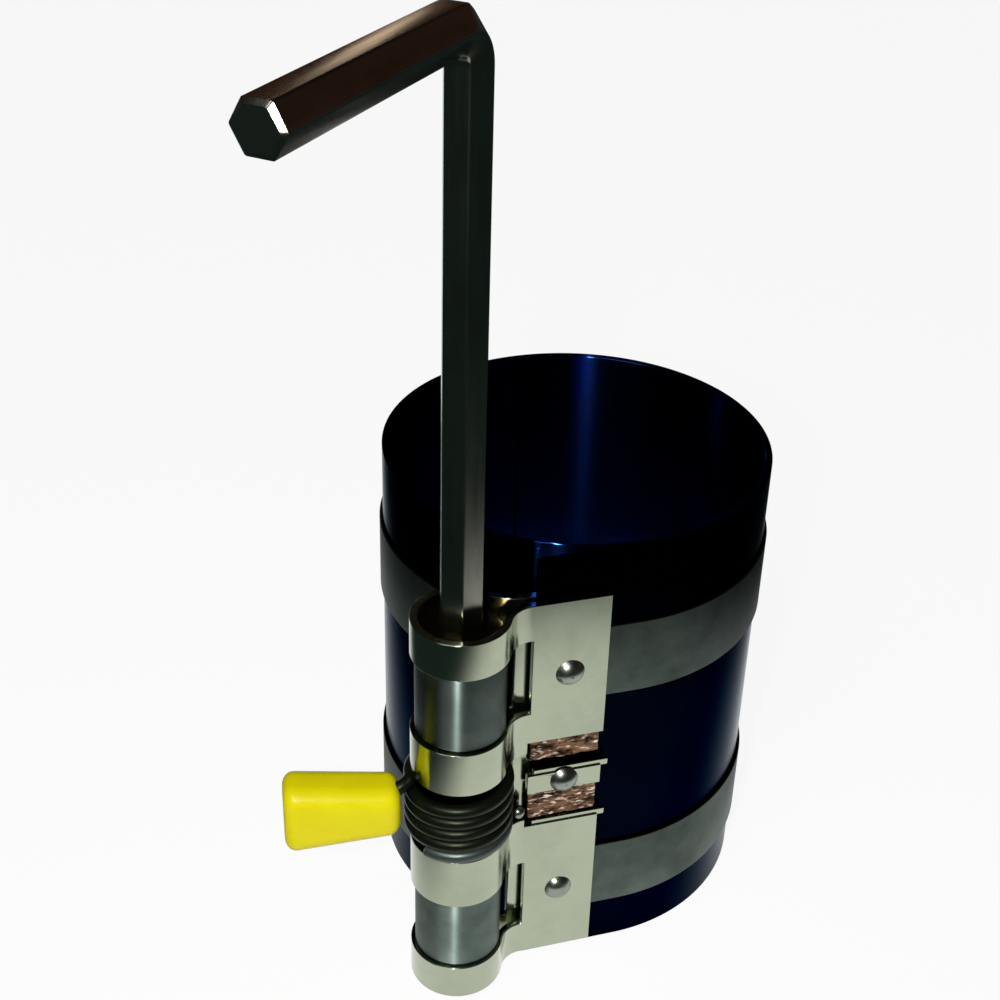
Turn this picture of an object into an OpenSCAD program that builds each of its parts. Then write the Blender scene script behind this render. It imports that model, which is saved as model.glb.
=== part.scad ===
// Piston ring compressor: a coiled spring-steel band that two straps draw tight.
// The straps wind on a spindle held in a folded clasp. A wrap spring on the
// spindle lets it turn one way only, and its lever lets the spindle go again.
// The bore's axis is Z, the band stands on Z = 0, and the clasp faces -Y.

/* [Band] */
// Diameter of the bore inside the band's inner turn
bore_d = 61; // [56:1:90]
// Height of the band
band_h = 80; // [76:1:110]
// Thickness of the spring-steel band
band_t = 0.5; // [0.3:0.1:0.8]
// Gap between the overlapping turns of the band
turn_gap = 0.25; // [0.2:0.05:0.5]
// Length of band left bare beyond the flange's inner edge
tail_inset = 1; // [0.5:0.1:3]

/* [Straps] */
// Width of each strap
strap_w = 13; // [9:0.5:16]
// Thickness of each strap
strap_t = 0.4; // [0.3:0.1:0.6]
// Gap between a strap and the band that it lies on
strap_gap = 0.15; // [0.1:0.05:0.4]
// Layers of strap wound on each drum
strap_layers = 5; // [3:1:6]
// Gap between the wound strap and the strap that runs up to it
lead_gap = 0.3; // [0.2:0.05:0.6]
// Gap between the wound strap and its drum
wind_gap = 0.05; // [0.03:0.01:0.1]

/* [Clasp] */
// Thickness of the folded sheet
sheet_t = 1.2; // [0.8:0.1:1.5]
// Height of the clasp's lower edge above the band's lower edge
clasp_z = 2.1; // [0.5:0.1:4]
// Height of the knuckle at the foot of the clasp
foot_knuckle_h = 6.4; // [4:0.1:9]
// Height of the knuckle below the spring
lower_knuckle_h = 9.3; // [6:0.1:12]
// Height of the knuckle above the spring
upper_knuckle_h = 7.8; // [6:0.1:12]
// Height of the knuckle at the head of the clasp
head_knuckle_h = 6.3; // [4:0.1:9]
// Gap above and below a strap in its window
window_gap = 0.4; // [0.3:0.1:0.8]
// Distance from the bend of the flange to the spindle's axis
knuckle_reach = 10.8; // [10:0.1:13]
// Distance from the rivets to the bend of the flange
flange_left = 6.2; // [5:0.1:8]
// Distance from the rivets to the free edge of the flange
flange_right = 6; // [4:0.1:7]
// Distance from the rivets to the edge of the back leaf
rivet_edge = 2; // [1.8:0.1:3]
// Gap between the leaves and what they hold
leaf_gap = 0.05; // [0.03:0.01:0.1]
// Gap between the back leaf's edge and the band
leaf_edge_gap = 0.3; // [0.2:0.1:0.6]
// How far the back leaf shows past the front leaf in a window
back_lip = 2; // [1.9:0.1:2.4]

/* [Flange slots] */
// Height of the plate that the middle rivet holds
middle_plate_h = 3.6; // [3.6:0.1:5]
// How far that plate's middle lies above the middle of the spring's window
plate_rise = 0.3; // [0:0.1:1]
// Height of the slot above the plate and of the one below it
slot_h = 6.8; // [5:0.1:8]
// Height of the stepped lips on the plate and below the lower slot
lip_h = 0.8; // [0.5:0.1:1.2]
// Depth of the lips below the flange's face
lip_depth = 0.3; // [0.2:0.05:0.5]
// How far the lips run past the flange's free edge
lip_past = 1.2; // [0.5:0.1:2]
// Distance from the windows to the start of the lips
lip_inset = 1; // [0.5:0.1:2]
// Depth of the brazed joint below the flange's face
braze_depth = 0.7; // [0.4:0.1:0.9]
// Clear height left under the upper brazed joint
braze_clear = 2.3; // [1.5:0.1:3]
// Gap round a brazed joint in its slot
braze_gap = 0.1; // [0.05:0.05:0.2]

/* [Rivets and pin] */
// Diameter of the rivet shanks
rivet_d = 2.4; // [2:0.1:3]
// Diameter of the rivet heads
rivet_head_d = 4.6; // [4:0.1:5.5]
// Height of the rivet heads
rivet_head_h = 1.3; // [0.8:0.1:1.8]
// Radial gap round a rivet or pin in its holes
rivet_gap = 0.05; // [0.03:0.01:0.1]
// Diameter of the spring's anchor pin
pin_d = 1; // [0.8:0.1:1.1]
// Diameter of the anchor pin's round head
pin_head_d = 2.2; // [1.6:0.1:2.4]
// Gap between the anchor pin's head and the coil or window edge beside it
pin_gap = 0.125; // [0.1:0.005:0.3]
// Height of the anchor pin above the lower knuckle
pin_rise = 1.5; // [1.4:0.1:10]

/* [Spindle] */
// Diameter of the spindle's journals
spindle_d = 12.5; // [12:0.1:13]
// Radial running gap between the spindle and the knuckles
journal_gap = 0.05; // [0.03:0.01:0.1]
// Diameter of the two drums
drum_d = 10; // [9.4:0.1:10.4]
// Gap between a drum's shoulders and the wound strap
shoulder_gap = 0.1; // [0.05:0.05:0.2]
// Depth of the slot that takes the strap's inner end
slit_depth = 1; // [0.6:0.1:1.2]
// Clearance of the strap's end in that slot
slit_gap = 0.2; // [0.1:0.05:0.3]
// How far the spindle's top lies below the clasp's top
spindle_sink = 2.4; // [1:0.1:4]
// How far the spindle's foot lies above the clasp's foot
spindle_lift = 0.4; // [0.2:0.1:1]

/* [Key] */
// Width across the flats of the hexagon key
key_af = 6; // [5:0.5:6.5]
// Gap between each flat of the key and its socket
key_gap = 0.06; // [0.03:0.01:0.1]
// Depth of the socket in the spindle
socket_depth = 14; // [8:0.5:18]
// Height of the short arm's axis above the spindle's top
key_rise = 87.7; // [40:0.1:140]
// Length of the short arm from the spindle's axis
key_arm = 45; // [25:0.5:60]
// Radius of the bend, on the key's axis
key_bend_r = 5; // [4.2:0.1:9]
// Direction of the short arm about the spindle
key_angle = 228; // [0:1:359]
// Chamfer on the key's ends
key_chamfer = 0.6; // [0.3:0.1:1]
// Gap between the key's foot and the bottom of the socket
key_foot_gap = 0.2; // [0.1:0.1:1]

/* [Wrap spring] */
// Diameter of the spring wire
wire_d = 2.15; // [1.6:0.05:2.2]
// Gap between neighbouring coils
coil_gap = 0.11; // [0.1:0.01:0.4]
// Whole turns of the coil
coil_turns = 5; // [3:1:6]
// Direction in which the coil's lower end lies
coil_foot_angle = 215; // [190:1:240]
// Gap between the coil and the spindle
coil_play = 0.15; // [0.12:0.01:0.2]
// Gap between the coil and the knuckles above and below it
coil_end_gap = 0.2; // [0.15:0.05:0.5]

/* [Release lever] */
// Direction in which the lever points
lever_angle = 172; // [160:1:185]
// Radius of the bend from the coil to the lever
lever_bend_r = 2.5; // [2:0.1:4]
// Length of wire inside the grip
lever_wire = 12; // [6:0.5:14]
// Drop of the wire along the grip
lever_drop = 1.6; // [0.5:0.1:2]
// Gap between the coil and the grip
grip_gap = 0.8; // [0.4:0.05:2]
// Length of the grip
grip_len = 17.6; // [16:0.1:30]
// Thickness of the grip
grip_w = 7.6; // [4.5:0.1:9]
// Height of the grip beside the coil
grip_root_h = 8.2; // [7:0.1:9.5]
// Height of the grip at its free end
grip_tip_h = 11.8; // [9:0.1:14]
// How far the middle of the grip lies below the top coil
grip_drop = 3.4; // [2.4:0.1:3.6]
// Radius of the grip's corners
grip_round = 1.9; // [1:0.1:2]
// Radial gap round the wire in the grip
grip_bore_gap = 0.08; // [0.05:0.01:0.15]

/* [Hidden] */
$fn = 96;

// The band is a spiral of half turns about two centres
bore_r = bore_d / 2;
spiral_shift = (band_t + turn_gap) / 2;
outer_r = bore_r + 2 * band_t + turn_gap;
left_r = outer_r - spiral_shift;

// The clasp's faces as distances from the bore's axis
strap_in = outer_r + strap_gap;
front_in = strap_in + strap_t + leaf_gap;
front_out = front_in + sheet_t;
back_in = outer_r - band_t - leaf_gap;
back_out = back_in - sheet_t;
between_leaves = (front_in + back_in) / 2;

// Places along the flange
back_edge_r = left_r + leaf_edge_gap;
back_edge_x = -hundredth(sqrt(pow(back_edge_r, 2) - pow(back_out + spiral_shift, 2)));
rivet_x = back_edge_x - rivet_edge;
flange_x0 = rivet_x - flange_left;
flange_x1 = rivet_x + flange_right;
tail_x = flange_x0 + tail_inset;

// The spindle's axis lies in the middle of the front leaf
axis_x = flange_x0 - knuckle_reach;
axis_y = sheet_t / 2 - front_out;
spindle_r = spindle_d / 2;
knuckle_in = spindle_r + journal_gap;
knuckle_out = knuckle_in + sheet_t;
drum_r = drum_d / 2;
pack_r = drum_r + wind_gap + strap_layers * strap_t;

// The leaves leave the knuckles on curves that touch both
front_step = front_out + axis_y;
back_step = -axis_y - back_out;
front_curve = leaf_curve(front_step);
back_curve = leaf_curve(back_step);
front_turn = atan2(front_step + front_curve, knuckle_reach);
back_turn = atan2(back_step + back_curve, knuckle_reach);

// The coil rises counter-clockwise from its foot to the lever
coil_r = spindle_r + coil_play + wire_d / 2;
coil_out = coil_r + wire_d / 2;
coil_sweep = 360 * coil_turns + lever_angle - coil_foot_angle;
coil_rise = hundredth((wire_d + coil_gap) * coil_sweep / 360);

// The anchor pin stands beside the coil, and the windows end beyond its head
pin_x = axis_x + coil_out + pin_gap + pin_head_d / 2;
window_x = pin_x + pin_head_d / 2 + pin_gap;

// Heights of the knuckles and windows, from the foot up
window_h = strap_w + 2 * window_gap;
spring_window_h = coil_rise + wire_d + 2 * coil_end_gap;
lower_window_z = clasp_z + foot_knuckle_h;
lower_knuckle_z = lower_window_z + window_h;
spring_window_z = lower_knuckle_z + lower_knuckle_h;
upper_knuckle_z = spring_window_z + spring_window_h;
upper_window_z = upper_knuckle_z + upper_knuckle_h;
head_knuckle_z = upper_window_z + window_h;
clasp_top = head_knuckle_z + head_knuckle_h;
lower_strap_z = lower_window_z + window_gap;
upper_strap_z = upper_window_z + window_gap;
lower_rivet_z = lower_strap_z + strap_w / 2;
upper_rivet_z = upper_strap_z + strap_w / 2;
middle_rivet_z = spring_window_z + spring_window_h / 2 + plate_rise;
upper_slot_z = middle_rivet_z + middle_plate_h / 2;
plate_z = upper_slot_z - middle_plate_h;
lower_slot_z = plate_z - slot_h;
pin_z = spring_window_z + pin_rise;
coil_foot_z = spring_window_z + coil_end_gap + wire_d / 2;
coil_top_z = coil_foot_z + coil_rise;

// The wire drops a little as it bends out of the coil into the grip
bend_drop_share = 0.37;
bend_drop = wire_d * bend_drop_share;
lever_root_z = coil_top_z - bend_drop;

// The spindle and the key
spindle_foot = clasp_z + spindle_lift;
spindle_top = clasp_top - spindle_sink;
key_foot = spindle_top - socket_depth + key_foot_gap;
key_axis_z = spindle_top + key_rise;
slit_angle = key_angle + 120;

// The strap crosses from the band to the far side of the drum
strap_mid_r = left_r + strap_gap + strap_t / 2;
drum_mid_r = pack_r + lead_gap + strap_t / 2;
axis_from_left = [axis_x, axis_y - spiral_shift];
axis_angle = atan2(axis_from_left.y, axis_from_left.x) + 360;
lead_angle = axis_angle - acos((strap_mid_r + drum_mid_r) / norm(axis_from_left));
lead_len = sqrt(pow(norm(axis_from_left), 2) - pow(strap_mid_r + drum_mid_r, 2));

// At a seam one wall is slightly smaller and runs into the other
seam = 0.02;
seam_lap = 0.3;

// The overshoot of cuts, a reach past the knuckles, and the fineness of the swept wire
cut = 1;
far = knuckle_out + knuckle_reach;
wire_sides = 10;
coil_step = 15;
bend_step = 15;

// Radius of the curve from a knuckle to a leaf whose face lies that far from the axis
function leaf_curve(step) =
    (pow(knuckle_reach, 2) + pow(step, 2) - pow(knuckle_out, 2)) / (2 * (knuckle_out - step));

// A unit vector at an angle in the plane
function toward(angle) = [cos(angle), sin(angle), 0];

function unit(v) = v / norm(v);

// A length rounded to a hundredth of a millimetre
function hundredth(v) = round(100 * v) / 100;

// An upright wall bent round the Z axis
module arc_wall(inner, outer, from, to, height) {
    rotate([0, 0, from])
        rotate_extrude(angle = to - from)
            translate([inner, 0])
                square([outer - inner, height]);
}

// Places its children on the spindle's axis
module at_spindle(z = 0) {
    translate([axis_x, axis_y, z])
        children();
}

// Places its children at a height on the rivet line, with +Z out of the flange
module at_flange(x, z) {
    translate([x, 0, z])
        rotate([90, 0, 0])
            children();
}

// Holes for the three rivets, between two distances from the bore's axis
module rivet_holes(from, to, heights) {
    for (z = heights)
        at_flange(rivet_x, z)
            translate([0, 0, from])
                cylinder(d = rivet_d + 2 * rivet_gap, h = to - from);
}

module clamp_band() {
    color("midnightblue")
    difference() {
        union() {
            translate([tail_x, -outer_r, 0])
                cube([-tail_x, band_t, band_h]);
            arc_wall(outer_r - band_t, outer_r, 270, 450, band_h);
            translate([0, spiral_shift, 0])
                arc_wall(left_r - band_t, left_r, 90, 270, band_h);
            arc_wall(bore_r, bore_r + band_t, 270, 450, band_h);
        }
        rivet_holes(back_in, front_in, [lower_rivet_z, middle_rivet_z, upper_rivet_z]);
    }
}

// One strap, from its rivet round the band to the drum
module strap(z, rivet_z) {
    color("slategray")
    difference() {
        translate([0, 0, z])
        union() {
            translate([tail_x, -strap_in - strap_t, 0])
                cube([-tail_x, strap_t, strap_w]);
            arc_wall(strap_in, strap_in + strap_t, 270, 450, strap_w);
            translate([0, spiral_shift, 0]) {
                arc_wall(strap_in - spiral_shift, strap_in - spiral_shift + strap_t,
                         90, lead_angle, strap_w);
                rotate([0, 0, lead_angle])
                    translate([strap_mid_r - strap_t / 2 + seam, -seam_lap, 0])
                        cube([strap_t - 2 * seam, lead_len + seam_lap, strap_w]);
            }
        }
        rivet_holes(back_in, front_out, [rivet_z]);
    }
}

module upper_strap() {
    strap(upper_strap_z, upper_rivet_z);
}

module lower_strap() {
    strap(lower_strap_z, lower_rivet_z);
}

// The wound end of a strap, with its tongue in the drum's slot
module strap_coil(z) {
    color("slategray")
    at_spindle(z)
    union() {
        difference() {
            cylinder(r = pack_r, h = strap_w);
            translate([0, 0, -cut])
                cylinder(r = drum_r + wind_gap, h = strap_w + 2 * cut);
        }
        rotate([0, 0, slit_angle])
            translate([drum_r - slit_depth + slit_gap, -strap_t / 2, 0])
                cube([slit_depth - slit_gap + wind_gap + strap_t, strap_t, strap_w]);
    }
}

module upper_strap_coil() {
    strap_coil(upper_strap_z);
}

module lower_strap_coil() {
    strap_coil(lower_strap_z);
}

// A curve of the folded sheet, run into the walls at both of its ends
module sheet_curve(radius, from, to, height) {
    lap_angle = seam_lap / radius * 180 / PI;
    translate([0, 0, seam])
        arc_wall(radius + seam, radius + sheet_t - seam,
                 from - lap_angle, to + lap_angle, height - 2 * seam);
}

// The folded sheet before its windows are cut
module folded_sheet() {
    height = clasp_top - clasp_z;
    at_spindle()
        arc_wall(knuckle_in, knuckle_out, back_turn, 360 - front_turn, height);
    translate([flange_x0, -front_out - front_curve, 0])
        sheet_curve(front_curve, 90, 180 - front_turn, height);
    translate([flange_x0, back_curve - back_out, 0])
        sheet_curve(back_curve, 180 + back_turn, 270, height);
    translate([flange_x0 - seam_lap, -front_out, 0])
        cube([flange_x1 - flange_x0 + seam_lap, sheet_t, height]);
    translate([flange_x0 - seam_lap, -back_in, 0])
        cube([back_edge_x - flange_x0 + seam_lap, sheet_t, height]);
}

// A window through the knuckle that leaves a lip of the back leaf in sight
module knuckle_window(z, height) {
    translate([axis_x - far, axis_y - far, z])
        cube([window_x - axis_x + far, far - axis_y - between_leaves, height]);
    translate([axis_x - far, axis_y - far, z])
        cube([window_x - back_lip - axis_x + far, 2 * far, height]);
}

// Both slots in the front leaf, open to the spring's window and at the free edge
module flange_slots() {
    translate([window_x - seam_lap, -front_out - cut, lower_slot_z])
        cube([
            flange_x1 - window_x + seam_lap + cut,
            front_out + cut - between_leaves,
            upper_slot_z + slot_h - lower_slot_z
        ]);
}

// A lip stepped back from the flange's face, which runs past its free edge
module slot_lip(z) {
    translate([window_x + lip_inset, lip_depth - front_out, z - seam_lap])
        cube([
            flange_x1 + lip_past - window_x - lip_inset,
            sheet_t - lip_depth - seam,
            lip_h + seam_lap
        ]);
}

module clasp_housing() {
    color("gainsboro")
    union() {
        difference() {
            translate([0, 0, clasp_z])
                folded_sheet();
            knuckle_window(lower_window_z, window_h);
            knuckle_window(spring_window_z, spring_window_h);
            knuckle_window(upper_window_z, window_h);
            flange_slots();
            rivet_holes(back_out - cut, front_out + cut, [lower_rivet_z, middle_rivet_z, upper_rivet_z]);
            at_flange(pin_x, pin_z)
                translate([0, 0, back_out - cut])
                    cylinder(d = pin_d + 2 * rivet_gap, h = between_leaves - back_out + cut);
        }
        slot_lip(lower_slot_z);
    }
}

// The plate between the slots, held by the middle rivet alone
module middle_plate() {
    color("gainsboro")
    difference() {
        union() {
            translate([window_x, -front_out, plate_z])
                cube([flange_x1 - window_x, sheet_t, middle_plate_h]);
            slot_lip(upper_slot_z);
        }
        rivet_holes(between_leaves, front_out + cut, [middle_rivet_z]);
    }
}

// A round-headed rivet through both leaves
module rivet(z) {
    dome_r = (pow(rivet_head_d / 2, 2) + pow(rivet_head_h, 2)) / (2 * rivet_head_h);
    color("silver")
    at_flange(rivet_x, z)
    union() {
        translate([0, 0, back_out])
            cylinder(d = rivet_d, h = front_out - back_out);
        intersection() {
            translate([0, 0, front_out + rivet_head_h - dome_r])
                sphere(r = dome_r);
            translate([0, 0, front_out])
                cylinder(d = rivet_head_d, h = rivet_head_h + cut);
        }
    }
}

module upper_rivet() {
    rivet(upper_rivet_z);
}

module middle_rivet() {
    rivet(middle_rivet_z);
}

module lower_rivet() {
    rivet(lower_rivet_z);
}

// A brazed joint that fills a slot's floor, with its long edges run down
module braze(z, height) {
    rise = front_out - braze_depth - outer_r - leaf_gap;
    run = rise / 2;
    color("peru")
    translate([window_x + braze_gap, -outer_r - leaf_gap, z])
        rotate([90, 0, 90])
            linear_extrude(flange_x1 - window_x - 2 * braze_gap)
                polygon([[0, 0], [-rise, run], [-rise, height - run], [0, height]]);
}

module upper_braze() {
    braze(upper_slot_z + braze_clear, slot_h - braze_clear - braze_gap);
}

module lower_braze() {
    braze(lower_slot_z + lip_h + braze_gap, slot_h - lip_h - 2 * braze_gap);
}

// The pin that holds the spring's coil from turning with the spindle
module anchor_pin() {
    color("silver")
    at_flange(pin_x, pin_z)
    union() {
        translate([0, 0, back_out])
            cylinder(d = pin_d, h = front_out - back_out - sheet_t / 2);
        translate([0, 0, front_out - sheet_t / 2])
            sphere(d = pin_head_d);
    }
}

// A neck turned into the spindle, with a slot for the strap's inner end
module drum_neck(strap_z) {
    neck_h = strap_w + 2 * shoulder_gap;
    translate([0, 0, strap_z - shoulder_gap]) {
        difference() {
            cylinder(r = spindle_r + cut, h = neck_h);
            translate([0, 0, -cut])
                cylinder(r = drum_r, h = neck_h + 2 * cut);
        }
        rotate([0, 0, slit_angle])
            translate([drum_r - slit_depth, -strap_t / 2 - slit_gap, 0])
                cube([slit_depth + cut, strap_t + 2 * slit_gap, neck_h]);
    }
}

module spindle() {
    color("goldenrod")
    translate([axis_x, axis_y, 0])
    difference() {
        translate([0, 0, spindle_foot])
            cylinder(r = spindle_r, h = spindle_top - spindle_foot);
        drum_neck(lower_strap_z);
        drum_neck(upper_strap_z);
        translate([0, 0, spindle_top - socket_depth])
            hexagon_bar(key_af + 2 * key_gap, socket_depth + cut);
    }
}

// A hexagon bar along Z with a flat towards the short arm
module hexagon_bar(across_flats, length) {
    rotate([0, 0, key_angle + 30])
        cylinder(r = across_flats / sqrt(3), h = length, $fn = 6);
}

// A hexagon bar along Z with flats across X and its far end chamfered
module key_bar(length) {
    corner_r = key_af / sqrt(3);
    intersection() {
        rotate([0, 0, 30])
            cylinder(r = corner_r, h = length, $fn = 6);
        union() {
            cylinder(r = corner_r + cut, h = length - key_chamfer);
            translate([0, 0, length - key_chamfer])
                cylinder(r1 = corner_r, r2 = corner_r - key_chamfer, h = key_chamfer);
        }
    }
}

module hex_key() {
    bend_z = key_axis_z - key_bend_r;
    color("dimgray")
    at_spindle()
    rotate([0, 0, key_angle])
    union() {
        translate([0, 0, bend_z])
            mirror([0, 0, 1])
                key_bar(bend_z - key_foot);
        translate([key_bend_r, 0, bend_z])
            mirror([1, 0, 0])
                rotate([90, 0, 0])
                    rotate_extrude(angle = 90)
                        translate([key_bend_r, 0])
                            rotate(30)
                                circle(r = key_af / sqrt(3), $fn = 6);
        translate([key_bend_r, 0, key_axis_z])
            rotate([0, 90, 0])
                key_bar(key_arm - key_bend_r);
    }
}

// Points along the wire: the coil, the bend out of it, then the lever
function coil_points() = [
    for (turn = [0 : coil_step : coil_sweep])
        coil_r * toward(coil_foot_angle + turn) + [0, 0, coil_foot_z + coil_rise * turn / coil_sweep]
];

function bend_points() = let (
    out = toward(lever_angle),
    along = toward(lever_angle + 90),
    centre = (coil_r + lever_bend_r) * out + [0, 0, coil_top_z]
) [
    for (turn = [0 : bend_step : 90])
        centre + lever_bend_r * (sin(turn) * along - cos(turn) * out)
            - [0, 0, bend_drop * pow(1 - cos(turn), 2)]
];

function lever_point(distance) =
    (coil_r + lever_bend_r + distance) * toward(lever_angle)
    + lever_bend_r * toward(lever_angle + 90)
    + [0, 0, lever_root_z - lever_drop * distance / lever_wire];

// A round wire swept along a list of points
module swept_wire(points, diameter) {
    last = len(points) - 1;
    tangents = [
        for (i = [0 : last])
            unit(points[min(i + 1, last)] - points[max(i - 1, 0)])
    ];
    rings = [
        for (i = [0 : last])
            let (side = unit(cross(tangents[i], [0, 0, 1])), up = cross(side, tangents[i]))
                for (k = [0 : wire_sides - 1])
                    points[i] + diameter / 2
                        * (cos(360 * k / wire_sides) * side + sin(360 * k / wire_sides) * up)
    ];
    walls = [
        for (i = [0 : last - 1], k = [0 : wire_sides - 1])
            let (
                a = i * wire_sides + k,
                b = i * wire_sides + (k + 1) % wire_sides
            )
                each [[a, b, b + wire_sides], [a, b + wire_sides, a + wire_sides]]
    ];
    first_cap = [for (k = [wire_sides - 1 : -1 : 0]) k];
    last_cap = [for (k = [0 : wire_sides - 1]) last * wire_sides + k];
    polyhedron(points = rings, faces = concat(walls, [first_cap, last_cap]));
}

module wrap_spring() {
    color("darkolivegreen")
    at_spindle()
        swept_wire(concat(coil_points(), bend_points(), [lever_point(lever_wire)]), wire_d);
}

// The grip's bore follows the wire, and its mouth clears the bend
module grip_bore() {
    slope = atan2(lever_drop, lever_wire);
    bore_r0 = wire_d / 2 + grip_bore_gap;
    mouth_r = bore_r0 + bend_drop;
    translate(lever_point(0))
        rotate([0, 90 + slope, lever_angle]) {
            translate([0, 0, -lever_bend_r])
                cylinder(r = bore_r0, h = lever_bend_r + norm([lever_wire, lever_drop]) + grip_bore_gap);
            translate([0, 0, -lever_bend_r])
                cylinder(r = mouth_r, h = lever_bend_r + grip_bore_gap);
        }
}

module lever_grip() {
    grip_x = coil_out + grip_gap;
    ends = [[grip_x + grip_round, grip_root_h], [grip_x + grip_len - grip_round, grip_tip_h]];
    color("gold")
    at_spindle()
    difference() {
        translate([0, 0, coil_top_z - grip_drop])
            rotate([0, 0, lever_angle])
                translate([0, lever_bend_r, 0])
                    hull()
                        for (end = ends, side = [-1, 1], top = [-1, 1])
                            translate([
                                end[0],
                                side * (grip_w / 2 - grip_round),
                                top * (end[1] / 2 - grip_round)
                            ])
                                sphere(r = grip_round, $fn = 20);
        grip_bore();
    }
}

clamp_band();
upper_strap();
lower_strap();
clasp_housing();
upper_rivet();
middle_rivet();
lower_rivet();
upper_braze();
lower_braze();
middle_plate();
anchor_pin();
spindle();
upper_strap_coil();
lower_strap_coil();
hex_key();
wrap_spring();
lever_grip();
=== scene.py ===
"""Piston ring compressor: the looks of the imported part, its studio and its camera.

Every length in the classes below is in millimetres, in the frame of the solids: Z along the
bore, the band standing on Z = 0 and the clasp facing -Y.
"""

from __future__ import annotations

import logging
import math
from dataclasses import dataclass, field, replace
from enum import Enum
from typing import Any, Iterable, Sequence

import bpy
from mathutils import Matrix, Vector, noise


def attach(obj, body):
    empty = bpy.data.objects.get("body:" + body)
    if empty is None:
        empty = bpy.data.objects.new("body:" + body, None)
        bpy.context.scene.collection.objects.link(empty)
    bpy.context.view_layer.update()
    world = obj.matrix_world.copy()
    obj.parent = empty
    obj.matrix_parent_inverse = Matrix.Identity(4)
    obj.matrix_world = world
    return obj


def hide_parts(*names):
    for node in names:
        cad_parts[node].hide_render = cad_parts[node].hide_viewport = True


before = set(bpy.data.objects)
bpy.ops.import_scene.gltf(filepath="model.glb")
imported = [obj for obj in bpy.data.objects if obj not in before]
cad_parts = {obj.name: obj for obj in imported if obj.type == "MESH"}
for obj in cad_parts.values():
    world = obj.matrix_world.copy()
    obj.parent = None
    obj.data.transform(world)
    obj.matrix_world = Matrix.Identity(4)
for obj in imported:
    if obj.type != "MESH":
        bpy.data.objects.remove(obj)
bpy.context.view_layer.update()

MM = 0.001
# Length of one wave in the wave texture's own units
WAVE_UNIT = 2 * math.pi / 20
# The spindle's axis in plan, which the key and the lever share
SPINDLE_AXIS = (-27.98, -32.95)
STRAP_WIDTH = 13.0
# Angles of the -Y and +Y sides in degrees
FRONT, BACK = 270.0, 90.0
HALF_TURN = 180.0
UP = Vector((0.0, 0.0, 1.0)).freeze()
STRIP_MAP = "strip"
LOG = logging.getLogger("piston_ring_compressor")

Tree = bpy.types.NodeTree
Node = bpy.types.Node
Socket = bpy.types.NodeSocket
Inputs = dict[str | int, Any]
Colour = tuple[float, float, float, float]
Point = tuple[float, float]
Place = tuple[float, float, float]
Frame3 = tuple[Vector, Vector, Vector]
Path = list[tuple[Vector, Vector]]


class Level(Enum):
    """Which of the two straps, drums or slots a piece belongs to."""

    UPPER = "upper"
    LOWER = "lower"


class Body(Enum):
    """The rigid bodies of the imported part."""

    CLASP = "clasp"
    SPINDLE = "spindle"
    KEY = "key"
    LEVER = "lever"


# Node materials


def linear(code: str) -> Colour:
    """Turns an sRGB hex colour into linear light.

    Args:
        code: Six hex digits, with or without a leading hash.

    Returns:
        Red, green, blue and an alpha of one.
    """
    digits = code.lstrip("#")
    values = [int(digits[i : i + 2], 16) / 255 for i in (0, 2, 4)]
    light = [v / 12.92 if v <= 0.04045 else ((v + 0.055) / 1.055) ** 2.4 for v in values]
    return light[0], light[1], light[2], 1.0


def add(
    tree: Tree, kind: str, inputs: Inputs | None = None, out: int | str = 0, **settings: Any
) -> Socket:
    """Adds one node with its settings and links.

    A colour mix has its share at input 0, its colours at 6 and 7 and its result at output 2.

    Args:
        tree: The node tree that takes the node.
        kind: The node's type name after the word ShaderNode.
        inputs: Values or output sockets, by the name or number of the input.
        out: Name or number of the output that is wanted.
        **settings: Attributes to set on the node.

    Returns:
        That output of the new node.
    """
    node = tree.nodes.new(f"ShaderNode{kind}")
    for name, value in settings.items():
        setattr(node, name, value)
    for key, value in (inputs or {}).items():
        if isinstance(value, Socket):
            tree.links.new(value, node.inputs[key])
        else:
            node.inputs[key].default_value = value
    return node.outputs[out]


def per_mm(size: float) -> float:
    """Gives a texture's scale in object space for a pattern of that size in millimetres."""
    return 1.0 / (size * MM)


@dataclass(frozen=True)
class Finish:
    """A real material and how its surface was made."""

    name: str
    roughness: float
    metallic: float = 1.0

    def material(self) -> bpy.types.Material:
        """Makes the node material, or gives it back if it is there already.

        Returns:
            The material.
        """
        made = bpy.data.materials.get(self.name)
        if made is not None:
            return made
        made = bpy.data.materials.new(self.name)
        made.use_nodes = True
        tree = made.node_tree
        shader = tree.nodes["Principled BSDF"]
        shader.inputs["Metallic"].default_value = self.metallic
        shader.inputs["Roughness"].default_value = self.roughness
        self.dress(tree, shader)
        return made

    def dress(self, tree: Tree, shader: Node) -> None:
        """Adds this finish's own pattern to the shader.

        Args:
            tree: The material's node tree.
            shader: Its principled shader.
        """
        raise NotImplementedError

    def link(self, tree: Tree, shader: Node, **sockets: Socket) -> None:
        """Links output sockets to the shader's inputs.

        Args:
            tree: The material's node tree.
            shader: Its principled shader.
            **sockets: Outputs by input name, with underscores for spaces.
        """
        for name, socket in sockets.items():
            tree.links.new(socket, shader.inputs[name.replace("_", " ")])


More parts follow.
